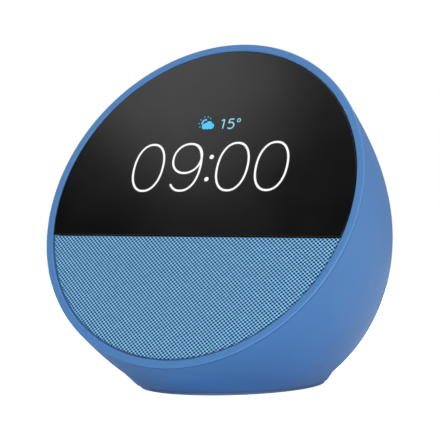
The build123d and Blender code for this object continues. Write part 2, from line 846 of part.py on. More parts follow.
def mic_modules():
    pieces = []
    for x in (-button_pitch / 2, button_pitch / 2):
        top = board_level - button_board_thickness
        pieces.append(pressed_box(3.5, 2.8, top - 1.0, top, x))
    return pieces


def button_flex():
    """Flat cable from under the button board to its socket on the main board."""
    under = board_level - button_board_thickness
    size = sqrt(1 + button_slope ** 2)
    start_v = button_v + under / size
    start_t = button_setback - under * button_slope / size
    level = board_back + 1.16
    points = [(start_v - 0.4, start_t + 1.0), (button_plug_v + 2.6, start_t), (button_plug_v + 1.8, level),
              (button_plug_v - 0.8, level)]
    return ribbon(points, 9.0, 0.6)


# ---- power inlet ----
def dc_jack():
    """Barrel jack: a nose in the recess's floor and a square body with the plug's bore."""
    nose = disc(jack_nose_radius, inlet_back - 0.5, inlet_bottom, 0, inlet_v)
    block = slab(jack_width, jack_width, jack_back, inlet_back, 0, inlet_v)
    bore = disc(jack_bore_radius, inlet_bottom - jack_bore_depth, inlet_bottom + 1, 0, inlet_v)
    socket = disc(jack_pin_radius, inlet_bottom - jack_bore_depth - 2, inlet_bottom, 0, inlet_v)
    return placed(nose + block - bore - socket)


def jack_pin():
    pin = disc(jack_pin_radius, inlet_bottom - jack_bore_depth - 2, inlet_bottom - 1.0, 0, inlet_v)
    tip = -inlet_bottom + 1.0
    return placed(fillet(pin.edges().filter_by_position(Axis.Z, tip - 0.1, tip + 0.1), 0.4))


def jack_retainer():
    """Plate that clamps the jack against the recess's floor."""
    plate = slab(2 * retainer_x + 6, jack_width - 1, jack_back - retainer_thickness, jack_back, 0, inlet_v)
    for side in (-1, 1):
        plate -= disc(screw_radius + screw_clear, jack_back - 3, jack_back + 1, side * retainer_x, inlet_v)
    return placed(plate - slab(5.0, 3.0, jack_back - 3, jack_back + 1, 0, inlet_v))


def retainer_screws():
    pieces = []
    for side in (-1, 1):
        seat = Pos(side * retainer_x, inlet_v, -(jack_back - retainer_thickness)) * screw(short_screw_length)
        pieces.append(placed(seat))
    return pieces


def power_cable():
    """Pair of wires from the jack to the board's power socket, in two easy bends."""
    pieces = []
    start, end = jack_back, board_back + 3.6
    for side in (-0.9, 0.9):
        corners = [
            (side, inlet_v, -start), (side, inlet_v, -start + 12),
            (power_plug_x + side, board_low + 5.0, -end - 12), (power_plug_x + side, board_low + 5.0, -end),
        ]
        path = FilletPolyline(*corners, radius=8.0)
        pieces.append(placed(sweep(Plane(origin=corners[0], z_dir=(0, 0, 1)) * Circle(0.7), path)))
    return pieces


# ---- base ----
def base_plate():
    """Floor of the casing, in the shell's opening, with sunk screw holes."""
    plate = oval_slab(shell_wall + fit_gap, foot_thickness, base_plate_top)
    for x, y in base_posts:
        plate -= column(screw_radius + screw_clear, 0, base_plate_top + 1, x, y)
        plate -= column(screw_head_radius + fit_gap, 0, foot_thickness + screw_head_height, x, y)
    return plate


def base_screws():
    pieces = []
    for x, y in base_posts:
        seat = Pos(x, y, foot_thickness + screw_head_height)
        pieces.append(seat * (Rot(180, 0, 0) * screw(base_screw_length)))
    return pieces


def base_weight():
    """Steel half oval on the base plate, behind the loudspeaker."""
    low, high = base_plate_top, base_plate_top + weight_height
    weight = oval_slab(shell_wall + weight_margin, low, high)
    weight &= Pos(0, weight_front + BIG / 2, 0) * Box(BIG, BIG, BIG)
    for x, y in base_posts:
        weight -= column(base_post_radius + 1.0, low - 1, high + 1, x, y)
        weight -= rib(x, y, 4.0, low - 1, high + 1)
    return weight & body(shell_wall + 1.2, seam_depth)


def foot_pad():
    """Rubber pad under the whole base, the face that the speaker stands on."""
    pad = oval_slab(foot_inset, 0, foot_thickness)
    return fillet(pad.edges().group_by(Axis.Z)[0], 0.3)


# ---- write every piece ----
def write(name, shape):
    """One STEP file for each named piece; a list is a group of like solids."""
    solids = []
    for item in shape if isinstance(shape, list) else [shape]:
        solids.extend(item.solids())
    result = solids[0] if len(solids) == 1 else Compound(children=solids)
    export_step(result, f"parts/{name}.step")


SINGLE = (
    rear_shell, bezel_ring, display_window, window_adhesive, grille_cloth, grille_plate,
    front_frame, frame_screws, display_panel, display_backlight, display_bracket, display_flex,
    speaker_gasket, speaker_basket, speaker_surround, speaker_cone, dust_cap, voice_coil,
    speaker_spider, top_plate, speaker_magnet, pole_piece, speaker_screws, speaker_terminals,
    speaker_enclosure, cable_grommet, speaker_cable, main_board, board_standoffs, board_screws,
    processor_chip, memory_chips, thermal_pad, heat_spreader, shield_can, radio_chip,
    board_connectors, board_capacitors, antenna_boards, button_switches, button_board,
    button_board_screws, mic_gaskets, mic_modules, button_flex, dc_jack, jack_pin, jack_retainer,
    retainer_screws, power_cable, base_plate, base_screws, base_weight, foot_pad,
)
for make in SINGLE:
    write(make.__name__, make())
for name, x in zip(button_names, button_xs):
    write(name + "_button", button_cap(name, x))
    if name != "mic_mute":
        write(name + "_plunger", switch_plunger(x))
write("mic_mute_plunger", switch_plunger(0.0))

press = button_plane.z_dir
world_press = placed(Pos(press.X, press.Y, press.Z) * Box(0.01, 0.01, 0.01)).center() - face.origin
mouth = placed(Pos(0, inlet_v, -inlet_mouth) * Box(0.01, 0.01, 0.01)).center()
floor_point = placed(Pos(0, inlet_v, -inlet_bottom) * Box(0.01, 0.01, 0.01)).center()
print("press axis", world_press)
print("face normal", face.z_dir)
print("inlet mouth", mouth, "floor", floor_point)
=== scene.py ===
"""Looks of a round-faced smart speaker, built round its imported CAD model.

Metres, +Z up, front towards -Y. The face leans back; a place on it is given by x across, v up in the
face and a depth behind its front plane.
"""

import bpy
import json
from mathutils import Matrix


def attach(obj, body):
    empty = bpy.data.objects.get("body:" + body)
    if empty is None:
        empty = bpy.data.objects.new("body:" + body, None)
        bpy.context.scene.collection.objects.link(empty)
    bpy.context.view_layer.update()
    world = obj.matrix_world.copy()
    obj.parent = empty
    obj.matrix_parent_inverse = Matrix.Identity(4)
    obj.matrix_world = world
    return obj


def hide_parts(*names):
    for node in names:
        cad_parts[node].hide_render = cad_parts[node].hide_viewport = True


bl_info = {
    "name": "Smart speaker looks",
    "version": (1, 0, 0),
    "blender": (4, 5, 0),
    "location": "3D View > Sidebar > Speaker",
    "description": "Cloth, window, clock face, casing finishes and studio for a smart speaker's CAD frame",
    "category": "Object",
}

import json
import math

import bpy
import numpy as np
from mathutils import Vector

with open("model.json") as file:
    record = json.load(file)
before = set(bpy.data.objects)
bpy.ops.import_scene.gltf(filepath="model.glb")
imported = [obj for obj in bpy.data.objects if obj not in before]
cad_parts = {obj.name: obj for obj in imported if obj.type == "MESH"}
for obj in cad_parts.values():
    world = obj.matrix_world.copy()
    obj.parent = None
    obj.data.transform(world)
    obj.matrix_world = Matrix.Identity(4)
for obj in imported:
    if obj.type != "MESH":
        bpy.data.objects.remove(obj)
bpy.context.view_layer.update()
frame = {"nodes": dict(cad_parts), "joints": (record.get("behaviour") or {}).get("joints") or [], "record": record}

MM = 0.001


# ---------------------------------------------------------------- places read from the frame
def node_points(node):
    """All points of a CAD node, one a row."""
    mesh = frame["nodes"][node].data
    found = np.empty(len(mesh.vertices) * 3, np.float32)
    mesh.vertices.foreach_get("co", found)
    return found.reshape(-1, 3).astype(float)


def joint_axis(name):
    return np.array(next(j["axis"] for j in frame["joints"] if j["name"] == name), float)


ACROSS = np.array((1.0, 0.0, 0.0))
NORMAL = joint_axis("diaphragm_travel")
UP = np.cross(NORMAL, ACROSS)
_ring = node_points("bezel_ring")
_ring_v = _ring @ UP
FACE_CENTRE = UP * (_ring_v.max() + _ring_v.min()) / 2 + NORMAL * (_ring @ NORMAL).max()


def face_place(points):
    """Points in the speaker's frame as (x, v, depth) columns."""
    away = points - FACE_CENTRE
    return away @ ACROSS, away @ UP, -(away @ NORMAL)


def on_face(x, v, depth):
    """Places on the face as points: centre + x across + v up - depth along the normal."""
    x, v, depth = np.broadcast_arrays(x, v, depth)
    return FACE_CENTRE + x[..., None] * ACROSS + v[..., None] * UP - depth[..., None] * NORMAL


WINDOW_X, WINDOW_V, WINDOW_DEPTH = face_place(node_points("display_window"))
CLOTH_X, CLOTH_V, CLOTH_DEPTH = face_place(node_points("grille_cloth"))


# ---------------------------------------------------------------- colours
def ink(red, green, blue):
    """A colour given as 0-255 display values, as the linear values that Blender takes."""
    share = np.array((red, green, blue)) / 255
    linear = np.where(share <= 0.04045, share / 12.92, ((share + 0.055) / 1.055) ** 2.4)
    return (*(float(c) for c in linear), 1.0)


# ---------------------------------------------------------------- settings
def colour_setting(name, description, default):
    return bpy.props.FloatVectorProperty(
        name=name, description=description, subtype="COLOR", size=4, min=0, max=1, default=default
    )


def length_setting(name, description, default):
    return bpy.props.FloatProperty(
        name=name, description=description, unit="LENGTH", precision=5, min=0, default=default
    )


def share_setting(name, description, default):
    return bpy.props.FloatProperty(
        name=name, description=description, subtype="FACTOR", min=0, max=1, default=default
    )


class CasingSettings(bpy.types.PropertyGroup):
    """Colours and surface of the moulded casing."""

    shell_colour: colour_setting("Casing", "Colour of the rear shell and its buttons", ink(61, 116, 176))
    ring_colour: colour_setting("Ring", "Colour of the ring round the face", ink(76, 128, 186))
    foot_colour: colour_setting("Foot", "Colour of the rubber foot", ink(96, 122, 156))
    roughness: share_setting("Roughness", "Roughness of the satin plastic", 0.46)
    grain: length_setting("Grain", "Size of the moulded texture's bumps", 0.35 * MM)


class ClothSettings(bpy.types.PropertyGroup):
    """Weave of the loudspeaker cloth."""

    # The light thread colour is a painted highlight: the thread as it looks where light catches its top.
    light: colour_setting("Highlit thread", "Colour of the threads that catch the light", ink(154, 220, 255))
    # The dark thread colour is the same thread with painted shade, used in the hollows between threads.
    dark: colour_setting("Shaded thread", "Colour of the threads in the hollows", ink(2, 38, 112))
    pitch: length_setting("Pitch", "Distance between neighbouring threads", 0.935 * MM)
    slant: bpy.props.FloatProperty(
        name="Slant",
        description="Angle of both thread directions from level",
        subtype="ANGLE",
        default=math.radians(40.7),
    )
    crown: length_setting("Crown", "Rise of a thread's round top above its edge", 0.2 * MM)
    wave: length_setting("Wave", "Rise and fall of a thread as it passes over and under", 0.13 * MM)
    edge_round: length_setting("Edge round", "Radius at which the cloth turns back at its edge", 0.4 * MM)


class ClockSettings(bpy.types.PropertyGroup):
    """What the display shows."""

    digit_height: length_setting("Digit height", "Height of a digit's centre line", 16.75 * MM)
    digit_width: length_setting("Digit width", "Width of a digit's centre line", 10.95 * MM)
    stroke: length_setting("Stroke", "Width of a digit's stroke", 0.72 * MM)
    middle_v: length_setting(
        "Height on the face", "Middle of the digits above the face's centre", 11.57 * MM
    )
    glow: bpy.props.FloatProperty(name="Glow", description="Strength of the lit figures", min=0, default=1.0)
    digit_colour: colour_setting("Digits", "Colour of the clock's digits", ink(255, 255, 255))
    figure_colour: colour_setting("Temperature", "Colour of the small figures", ink(150, 215, 235))
    cloud_colour: colour_setting("Cloud", "Colour of the weather sign", ink(75, 200, 250))


class StudioSettings(bpy.types.PropertyGroup):
    """Floor, lights and camera."""

    floor_colour: colour_setting("Floor", "Colour of the floor", ink(250, 250, 250))
    floor_radius: length_setting("Floor radius", "Radius of the round table top", 0.7)
    floor_lift: share_setting("Floor lift", "How much brighter the floor looks to the camera", 0.8)
    key_power: bpy.props.FloatProperty(
        name="Key", description="Power of the front light", unit="POWER", default=8.5
    )
    fill_power: bpy.props.FloatProperty(
        name="Side", description="Power of the side light", unit="POWER", default=3.2
    )
    left_power: bpy.props.FloatProperty(
        name="Left", description="Power of the left light", unit="POWER", default=6.0
    )
    top_power: bpy.props.FloatProperty(
        name="Top", description="Power of the top light", unit="POWER", default=9.0
    )
    glass_power: bpy.props.FloatProperty(
        name="Glass", description="Power of the window's light", unit="POWER", default=0.06
    )
    room_light: bpy.props.FloatProperty(name="Room", description="Strength of the even light", default=0.46)
    camera_place: bpy.props.FloatVectorProperty(
        name="Camera", description="Where the camera stands, from the face's centre", subtype="TRANSLATION",
        default=(0.25644, -0.42932, -0.00342),
    )
    camera_azimuth: bpy.props.FloatProperty(
        name="Azimuth", description="Camera's angle round the speaker from the front", subtype="ANGLE",
        default=math.radians(30.055),
    )
    camera_elevation: bpy.props.FloatProperty(
        name="Elevation",
        description="Camera's angle above level",
        subtype="ANGLE",
        default=math.radians(0.353),
    )
    lens: bpy.props.FloatProperty(
        name="Lens", description="Focal length", subtype="DISTANCE_CAMERA", default=129.6
    )


# ---------------------------------------------------------------- meshes
def grid_faces(rows, columns, wrap_rows=False, wrap_columns=False):
    """Four-sided faces between the points of a grid stored row by row."""
    row = np.arange(rows if wrap_rows else rows - 1)
    column = np.arange(columns if wrap_columns else columns - 1)
    row, column = (part.ravel() for part in np.meshgrid(row, column, indexing="ij"))
    below, beside = (row + 1) % rows, (column + 1) % columns
    corners = (
        row * columns + column,
        row * columns + beside,
        below * columns + beside,
        below * columns + column,
    )
    return np.stack(corners, axis=1)


def build_mesh(name, points, quads, caps=()):
    """A mesh from points, four-sided faces and a few many-sided caps, set as whole arrays."""
    mesh = bpy.data.meshes.new(name)
    loops = np.concatenate([np.asarray(quads).ravel(), *[np.asarray(cap) for cap in caps]]).astype(np.int32)
    counts = np.concatenate([np.full(len(quads), 4), [len(cap) for cap in caps]]).astype(np.int32)
    mesh.vertices.add(len(points))
    mesh.vertices.foreach_set("co", np.asarray(points, np.float32).ravel())
    mesh.loops.add(len(loops))
    mesh.loops.foreach_set("vertex_index", loops)
    mesh.polygons.add(len(counts))
    mesh.polygons.foreach_set("loop_start", np.concatenate([[0], np.cumsum(counts)[:-1]]).astype(np.int32))
    mesh.update(calc_edges=True)
    mesh.validate()
    return mesh


def enclosed_volume(points, quads):
    """Signed volume inside closed four-sided faces: a sixth of the sum of the corner boxes."""
    a, b, c, d = (points[quads[:, i]] for i in range(4))
    return float((a * np.cross(b, c)).sum() + (a * np.cross(c, d)).sum()) / 6


def add_piece(name, mesh, material, body, smooth=True):
    """A new object that wears one material and rides on a body."""
    mesh.materials.append(material)
    mesh.polygons.foreach_set("use_smooth", np.full(len(mesh.polygons), smooth))
    piece = bpy.data.objects.new(name, mesh)
    bpy.context.scene.collection.objects.link(piece)
    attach(piece, body)
    return piece


# ---------------------------------------------------------------- shader groups
def socket(tree, label, kind, side, value=None):
    made = tree.interface.new_socket(name=label, in_out=side, socket_type=kind)
    if value is not None:
        made.default_value = value
    return made


class Nodes:
    """Short ways to place nodes in a tree and join them."""

    def __init__(self, tree):
        self.tree = tree

    def put(self, kind, **settings):
        node = self.tree.nodes.new(kind)
        for key, value in settings.items():
            setattr(node, key, value)
        return node

    def feed(self, socket_in, value):
        if isinstance(value, bpy.types.NodeSocket):
            self.tree.links.new(value, socket_in)
        else:
            socket_in.default_value = value

    def math(self, operation, first, second=0.0, third=0.0, clamp=False):
        node = self.put("ShaderNodeMath", operation=operation, use_clamp=clamp)
        for place, value in enumerate((first, second, third)):
            self.feed(node.inputs[place], value)
        return node.outputs[0]

    def noise(self, vector, scale, detail=2.0, roughness=0.5):
        node = self.put("ShaderNodeTexNoise")
        self.feed(node.inputs["Vector"], vector)
        self.feed(node.inputs["Scale"], scale)
        self.feed(node.inputs["Detail"], detail)
        self.feed(node.inputs["Roughness"], roughness)
        return node.outputs["Fac"]

    def blend(self, share, first, second):
        node = self.put("ShaderNodeMix", data_type="RGBA")
        self.feed(node.inputs[0], share)
        self.feed(node.inputs[6], first)
        self.feed(node.inputs[7], second)
        return node.outputs[2]

    def spread(self, value, low, high, out_low=0.0, out_high=1.0):
        node = self.put("ShaderNodeMapRange", clamp=True)
        for place, number in enumerate((value, low, high, out_low, out_high)):
            self.feed(node.inputs[place], number)
        return node.outputs[0]

    def group(self, tree, **values):
        node = self.put("ShaderNodeGroup", node_tree=tree)
        for key, value in values.items():
            self.feed(node.inputs[key.replace("_", " ")], value)
        return node.outputs

    def bump(self, height, distance, strength=1.0):
        node = self.put("ShaderNodeBump")
        self.feed(node.inputs["Height"], height)
        node.inputs["Distance"].default_value = distance
        node.inputs["Strength"].default_value = strength
        return node.outputs["Normal"]


def new_group(name, inputs, outputs):
    """An empty shader group with the named sockets, and its input sockets and output node."""
    tree = bpy.data.node_groups.new(name, "ShaderNodeTree")
    for label, kind, value in inputs:
        socket(tree, label, kind, "INPUT", value)
    for label, kind in outputs:
        socket(tree, label, kind, "OUTPUT")
    nodes = Nodes(tree)
    return tree, nodes, nodes.put("NodeGroupInput").outputs, nodes.put("NodeGroupOutput").inputs


def moulded_skin_group():
    """Moulded plastic: fine pebbled bumps, cloudy tone and roughness, and handling marks."""
    tree, n, given, out = new_group(
        "Moulded skin",
        [("Vector", "NodeSocketVector", None), ("Grain size", "NodeSocketFloat", 0.0004)],
        [("Height", "NodeSocketFloat"), ("Tone", "NodeSocketFloat"), ("Rub", "NodeSocketFloat")],
    )
    density = n.math("DIVIDE", 1.0, given["Grain size"])
    fine = n.noise(given["Vector"], density, 3.0, 0.6)
    coarse = n.noise(given["Vector"], n.math("MULTIPLY", density, 0.31), 2.0, 0.5)
    n.feed(out["Height"], n.math("ADD", n.math("MULTIPLY", fine, 0.7), n.math("MULTIPLY", coarse, 0.3)))
    cloud = n.noise(given["Vector"], 34.0, 3.0, 0.55)
    n.feed(out["Tone"], n.math("ADD", n.math("MULTIPLY", cloud, 0.6), n.math("MULTIPLY", fine, 0.4)))
    rub = n.noise(given["Vector"], 75.0, 4.0, 0.62)
    n.feed(out["Rub"], n.spread(rub, 0.45, 0.75))
    return tree


def settled_dust_group():
    """Dust mask: faces that look up gather it, broken by a fine noise."""
    tree, n, given, out = new_group(
        "Settled dust",
        [("Vector", "NodeSocketVector", None), ("Amount", "NodeSocketFloat", 0.1)],
        [("Mask", "NodeSocketFloat")],
    )
    normal = n.put("ShaderNodeNewGeometry").outputs["Normal"]
    split = n.put("ShaderNodeSeparateXYZ")
    n.feed(split.inputs[0], normal)
    upward = n.spread(split.outputs["Z"], 0.2, 1.0)
    speck = n.spread(n.noise(given["Vector"], 900.0, 3.0, 0.7), 0.5, 0.72)
    n.feed(out["Mask"], n.math("MULTIPLY", n.math("MULTIPLY", upward, speck), given["Amount"], clamp=True))
    return tree


def drawn_metal_group():
    """Rolled or drawn metal: fine lines along x with small stains."""
    tree, n, given, out = new_group(
        "Drawn metal",
        [("Vector", "NodeSocketVector", None), ("Line density", "NodeSocketFloat", 5000.0)],
        [("Lines", "NodeSocketFloat"), ("Stain", "NodeSocketFloat")],
    )
    stretch = n.put("ShaderNodeMapping")
    n.feed(stretch.inputs["Vector"], given["Vector"])
    stretch.inputs["Scale"].default_value = (0.06, 1.0, 1.0)
    n.feed(out["Lines"], n.noise(stretch.outputs[0], given["Line density"], 2.0, 0.5))
    n.feed(out["Stain"], n.spread(n.noise(given["Vector"], 180.0, 4.0, 0.6), 0.4, 0.7))
    return tree


def woven_thread_group():
    """Plain weave from thread counts in UV: masks for painted shade in the hollows between threads and for a
    painted highlight on the thread tops, and fibres twisted round each thread, whose grooves also take painted
    shade.
    """
    tree, n, given, out = new_group(
        "Woven threads",
        [("Vector", "NodeSocketVector", None), ("Twist", "NodeSocketFloat", 3.0)],
        [("Hollow shade", "NodeSocketFloat"), ("Crest", "NodeSocketFloat"), ("Fibre", "NodeSocketFloat"),
         ("Yarn", "NodeSocketFloat")],
    )
    split = n.put("ShaderNodeSeparateXYZ")
    n.feed(split.inputs[0], given["Vector"])
    s, r = split.outputs["X"], split.outputs["Y"]
    side = []
    for value in (s, r):
        part = n.math("SUBTRACT", n.math("FRACT", n.math("ADD", value, 0.5)), 0.5)
        side.append((part, n.math("MULTIPLY", n.math("ABSOLUTE", part), 2.0)))
    # Painted shade mask: highest in the hollows, where neither thread covers.
    hollow_shade_mask = n.math("MULTIPLY", side[0][1], side[1][1])
    n.feed(out["Hollow shade"], n.spread(hollow_shade_mask, 0.08, 0.36))
    # Crest mask: the thread tops, where the cloth's material paints a highlight; it also sets the roughness.
    crest = n.math("SUBTRACT", 1.0, n.math("MAXIMUM", side[0][1], side[1][1]))
    n.feed(out["Crest"], n.math("POWER", crest, 0.8))
    # Which thread is on top: the first set where the two counts' sum is even.
    count = n.math("ADD", n.math("ROUND", s), n.math("ROUND", r))
    on_top = n.math("ABSOLUTE", n.math("SUBTRACT", n.math("MODULO", n.math("ABSOLUTE", count), 2.0), 1.0))
    # Fibre: twisted strands along each thread, used for bumps and for painted shade in the grooves between them.
    strands = []
    for along, (across, _) in ((s, side[1]), (r, side[0])):
        phase = n.math("ADD", n.math("MULTIPLY", across, 5.0), n.math("MULTIPLY", along, given["Twist"]))
        strands.append(n.math("SINE", n.math("MULTIPLY", phase, 2 * math.pi)))
    first = n.math("MULTIPLY", strands[0], on_top)
    second = n.math("MULTIPLY", strands[1], n.math("SUBTRACT", 1.0, on_top))
    n.feed(out["Fibre"], n.math("ADD", n.math("MULTIPLY", n.math("ADD", first, second), 0.5), 0.5))
    n.feed(out["Yarn"], n.noise(given["Vector"], 0.55, 3.0, 0.7))
    return tree


def printed_board_group():
    """Circuit board: copper tracks under the mask as a broken grid in the face's own directions."""
    tree, n, given, out = new_group(
        "Printed board",
        [("Vector", "NodeSocketVector", None), ("Track density", "NodeSocketFloat", 260.0)],
        [("Track", "NodeSocketFloat"), ("Pad", "NodeSocketFloat")],
    )
    x = n.put("ShaderNodeVectorMath", operation="DOT_PRODUCT")
    n.feed(x.inputs[0], given["Vector"])
    x.inputs[1].default_value = ACROSS
    v = n.put("ShaderNodeVectorMath", operation="DOT_PRODUCT")
    n.feed(v.inputs[0], given["Vector"])
    v.inputs[1].default_value = UP
    flat = n.put("ShaderNodeCombineXYZ")
    n.feed(flat.inputs[0], x.outputs["Value"])
    n.feed(flat.inputs[1], v.outputs["Value"])
    brick = n.put("ShaderNodeTexBrick")
    n.feed(brick.inputs["Vector"], flat.outputs[0])
    n.feed(brick.inputs["Scale"], given["Track density"])
    brick.inputs["Mortar Size"].default_value = 0.035
    broken = n.spread(n.noise(flat.outputs[0], 120.0, 1.0), 0.45, 0.55)
    n.feed(out["Track"], n.math("MULTIPLY", brick.outputs["Fac"], broken))
    dots = n.put("ShaderNodeTexVoronoi", feature="F1")
    n.feed(dots.inputs["Vector"], flat.outputs[0])
    dots.inputs["Scale"].default_value = 300.0
    n.feed(out["Pad"], n.math("LESS_THAN", dots.outputs["Distance"], 0.16))
    return tree


def winding_group():
    """Lines round the loudspeaker's axis: enamelled wire, a spider's ridges or a cone's pressed rings."""
    tree, n, given, out = new_group(
        "Turns round the axis",
        [("Vector", "NodeSocketVector", None), ("Turn width", "NodeSocketFloat", 0.0002)],
        [("Turns", "NodeSocketFloat"), ("Fibres", "NodeSocketFloat")],
    )
    dot = n.put("ShaderNodeVectorMath", operation="DOT_PRODUCT")
    n.feed(dot.inputs[0], given["Vector"])
    dot.inputs[1].default_value = NORMAL
    turns = n.math("DIVIDE", dot.outputs["Value"], given["Turn width"])
    wave = n.math("SINE", n.math("MULTIPLY", turns, 2 * math.pi))
    n.feed(out["Turns"], n.math("ADD", n.math("MULTIPLY", wave, 0.5), 0.5))
    n.feed(out["Fibres"], n.noise(given["Vector"], 1500.0, 5.0, 0.75))
    return tree


class Groups:
    """The shared shader groups, made once."""

    made = {}
    makers = {
        "skin": moulded_skin_group,
        "dust": settled_dust_group,
        "metal": drawn_metal_group,
        "weave": woven_thread_group,
        "board": printed_board_group,
        "turns": winding_group,
    }

    @classmethod
    def get(cls, name):
        if name not in cls.made:
            cls.made[name] = cls.makers[name]()
        return cls.made[name]


# ---------------------------------------------------------------- materials
def start_material(name):
    """A new Principled material: its nodes helper, the shader's sockets and Object coordinates."""
    material = bpy.data.materials.new(name)
    material.use_nodes = True
    n = Nodes(material.node_tree)
    shader = material.node_tree.nodes["Principled BSDF"]
    place = n.put("ShaderNodeTexCoord").outputs["Object"]
    return material, n, shader.inputs, place


def toned(colour, gain):
    """A colour made lighter or darker by a factor."""
    return (*(min(1.0, c * gain) for c in colour[:3]), 1.0)


def moulded_plastic(name, colour, roughness=0.5, grain=0.4 * MM, depth=0.004 * MM, contrast=0.06, dust=0.0,
                    specular=0.5):
    """Satin moulded plastic: pebbled bumps, cloudy tone, rubbed patches a little glossier, and some dust."""
    material, n, shader, place = start_material(name)
    skin = n.group(Groups.get("skin"), Vector=place, Grain_size=grain)
    tone = n.blend(skin["Tone"], toned(colour, 1 - contrast), toned(colour, 1 + contrast))
    if dust:
        mask = n.group(Groups.get("dust"), Vector=place, Amount=dust)["Mask"]
        tone = n.blend(mask, tone, ink(205, 208, 212))
    n.feed(shader["Base Color"], tone)
    n.feed(shader["Roughness"], n.spread(skin["Rub"], 0.0, 1.0, roughness + 0.03, roughness - 0.05))
    shader["Specular IOR Level"].default_value = specular
    n.feed(shader["Normal"], n.bump(skin["Height"], depth))
    return material


def metal_finish(name, colour, roughness=0.32, lines=5000.0, depth=0.002 * MM):
    """Plated, rolled or turned metal with drawn lines and faint stains."""
    material, n, shader, place = start_material(name)
    metal = n.group(Groups.get("metal"), Vector=place, Line_density=lines)
    n.feed(shader["Base Color"], n.blend(metal["Stain"], colour, toned(colour, 0.84)))
    shader["Metallic"].default_value = 1.0
    n.feed(shader["Roughness"], n.spread(metal["Lines"], 0.3, 0.7, roughness - 0.08, roughness + 0.1))
    n.feed(shader["Normal"], n.bump(metal["Lines"], depth))
    return material


def board_finish(name, colour):
    """Solder mask over copper tracks, with tinned pads."""
    material, n, shader, place = start_material(name)
    board = n.group(Groups.get("board"), Vector=place)
    green = n.blend(board["Track"], colour, toned(colour, 1.7))
    n.feed(shader["Base Color"], n.blend(board["Pad"], green, ink(196, 186, 150)))
    n.feed(shader["Metallic"], board["Pad"])
    shader["Roughness"].default_value = 0.34
    shader["Coat Weight"].default_value = 0.3
    n.feed(shader["Normal"], n.bump(board["Track"], 0.02 * MM))
    return material


def turned_finish(name, colour, turn, roughness, metallic=0.0, depth=0.02 * MM):
    """Wire, paper or cloth laid in turns round the loudspeaker's axis."""
    material, n, shader, place = start_material(name)
    turns = n.group(Groups.get("turns"), Vector=place, Turn_width=turn)
    mixed = n.math("ADD", n.math("MULTIPLY", turns["Turns"], 0.5), n.math("MULTIPLY", turns["Fibres"], 0.5))
    n.feed(shader["Base Color"], n.blend(mixed, toned(colour, 0.72), toned(colour, 1.25)))
    n.feed(shader["Roughness"], n.spread(turns["Fibres"], 0.3, 0.7, roughness - 0.08, roughness + 0.08))
    shader["Metallic"].default_value = metallic
    n.feed(shader["Normal"], n.bump(mixed, depth))
    return material


def black_glass(name):
    """Polished window over black print: faint finger haze in the gloss."""
    material, n, shader, place = start_material(name)
    haze = n.noise(place, 42.0, 4.0, 0.6)
    n.feed(shader["Base Color"], n.blend(n.spread(haze, 0.4, 0.7), ink(9, 9, 10), ink(13, 13, 14)))
    n.feed(shader["Roughness"], n.spread(haze, 0.35, 0.7, 0.17, 0.23))
    shader["IOR"].default_value = 1.5
    shader["Coat Weight"].default_value = 0.1
    shader["Coat Roughness"].default_value = 0.3
    return material


def lit_figure(name, colour, glow):
    """A lit figure of the display, a little brighter in places as a lit panel is."""
    material, n, shader, place = start_material(name)
    speck = n.noise(place, 3000.0, 2.0, 0.5)
    n.feed(shader["Emission Color"], n.blend(n.spread(speck, 0.3, 0.7), toned(colour, 0.96), colour))
    n.feed(shader["Base Color"], n.blend(speck, ink(10, 10, 11), ink(14, 14, 15)))
    shader["Emission Strength"].default_value = glow
    shader["Roughness"].default_value = 0.3
    return material


def loudspeaker_cloth(name, settings):
    """Woven cloth from the cloth's own UV map: thread tops in a lighter colour as a painted highlight, hollows and
    fibre grooves painted dark as painted shade, twisted, uneven yarn.
    """
    material, n, shader, _ = start_material(name)
    threads = n.put("ShaderNodeUVMap", uv_map="threads").outputs[0]
    weave = n.group(Groups.get("weave"), Vector=threads, Twist=3.0)
    light, dark = tuple(settings.light), tuple(settings.dark)
    # Half-shaded thread colour, a mix of the light and dark copies: painted shade for the thread flanks and fibre
    # grooves.
    middle = n.blend(0.6, light, dark)
    yarn = n.blend(n.spread(weave["Yarn"], 0.3, 0.7), toned(light, 0.8), toned(light, 1.1))
    # Painted highlight: the thread tops take the light colour, with an uneven yarn tone.
    body = n.blend(n.spread(weave["Crest"], 0.1, 0.7), middle, yarn)
    # Painted shade in the grooves between twisted fibres.
    groove_shade = n.math("MULTIPLY", n.math("SUBTRACT", 1.0, weave["Fibre"]), 0.22)
    body = n.blend(groove_shade, body, middle)
    # Painted shade: the hollows between threads take the dark colour.
    n.feed(shader["Base Color"], n.blend(weave["Hollow shade"], body, dark))
    n.feed(shader["Roughness"], n.spread(weave["Crest"], 0.0, 1.0, 0.9, 0.66))
    shader["Specular IOR Level"].default_value = 0.08
    n.feed(shader["Normal"], n.bump(weave["Fibre"], 0.02 * MM, 0.7))
    return material


def wear(node, material):
    """Puts one material on a CAD node, which keeps its shape and place."""
    mesh = frame["nodes"][node].data
    mesh.materials.clear()
    mesh.materials.append(material)


